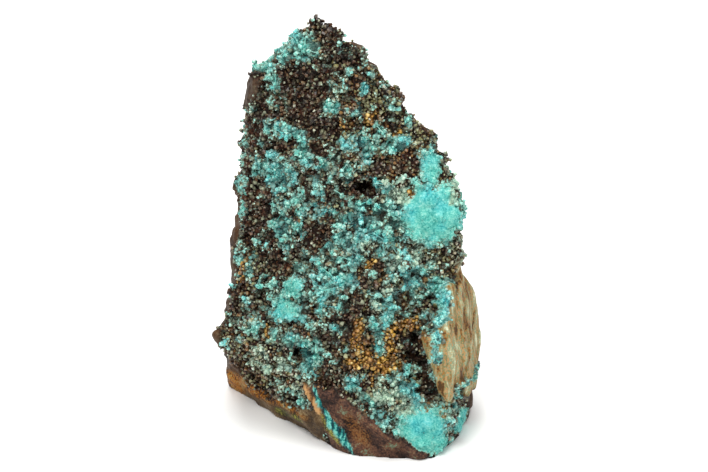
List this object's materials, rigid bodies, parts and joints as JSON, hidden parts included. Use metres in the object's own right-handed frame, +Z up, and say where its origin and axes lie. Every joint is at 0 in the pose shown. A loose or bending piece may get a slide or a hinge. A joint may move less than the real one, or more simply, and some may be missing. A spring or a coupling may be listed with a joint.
{
  "type": "chrysocolla mineral specimen",
  "caption": "Hand-size broken wedge of iron-stained rock with a druse of blue-green chrysocolla on its front, standing on a flat broken base.",
  "frame": {"origin": "centre of the bounding box of the stone, on the plane of its flat broken base", "axes": "+Z up from the flat base to the pointed crest; the crusted front faces -Y; +X to the right seen from the front"},
  "size_m": [0.039, 0.0326, 0.059],
  "materials": {
    "iron_stained_rock": "rough broken rock, front crusted with blue-green and dark brown druse grains"
  },
  "bodies": {
    "root": {"chrysocolla_specimen": "iron_stained_rock"}
  },
  "joints": []
}
